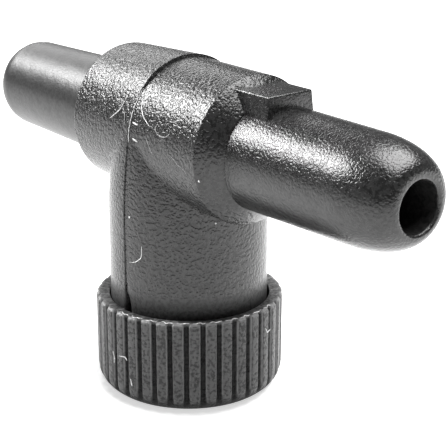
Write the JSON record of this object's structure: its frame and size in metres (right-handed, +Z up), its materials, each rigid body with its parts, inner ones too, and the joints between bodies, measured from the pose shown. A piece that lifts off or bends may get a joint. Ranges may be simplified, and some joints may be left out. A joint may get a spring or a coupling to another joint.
{
  "type": "radiator bleed key",
  "caption": "T-handled bleed key: two moulded handle halves clamped by a screw, and a ridged screw collar that holds a square key socket in the stem's foot.",
  "frame": {"origin": "centre of the collar's flat foot, the face the key stands on", "axes": "+Z up the stem to the handle, +X along the handle towards the arm with the screw hole"},
  "size_m": [0.0747, 0.0234, 0.0421],
  "materials": {
    "left_shell": "satin black, spark-eroded grain",
    "right_shell": "satin black, spark-eroded grain",
    "clamp_screw": "bright zinc",
    "screw_washer": "bright zinc",
    "threaded_insert": "turned",
    "key_socket": "turned and broached",
    "thrust_washer": "natural nylon",
    "o_ring": "matte",
    "knurled_collar": "black, ridged grip"
  },
  "bodies": {
    "handle": {"left_shell": "left_shell", "right_shell": "right_shell", "clamp_screw": "clamp_screw", "screw_washer": "screw_washer", "threaded_insert": "threaded_insert"},
    "socket": {"key_socket": "key_socket", "thrust_washer": "thrust_washer", "o_ring": "o_ring"},
    "collar": {"knurled_collar": "knurled_collar"}
  },
  "joints": [
    {"name": "collar_travel", "type": "slide", "parent": "handle", "child": "socket", "axis": [0, 0, -1], "range_m": [0, 0.004]},
    {"name": "collar_turn", "type": "hinge", "parent": "socket", "child": "collar", "pos_m": [0, 0, 0.006], "axis": [0, 0, -1], "range_deg": [0, 720]}
  ],
  "couplings": [
    {"joint": "collar_travel", "follows": "collar_turn", "m_per_rad": 0.0003183}
  ]
}
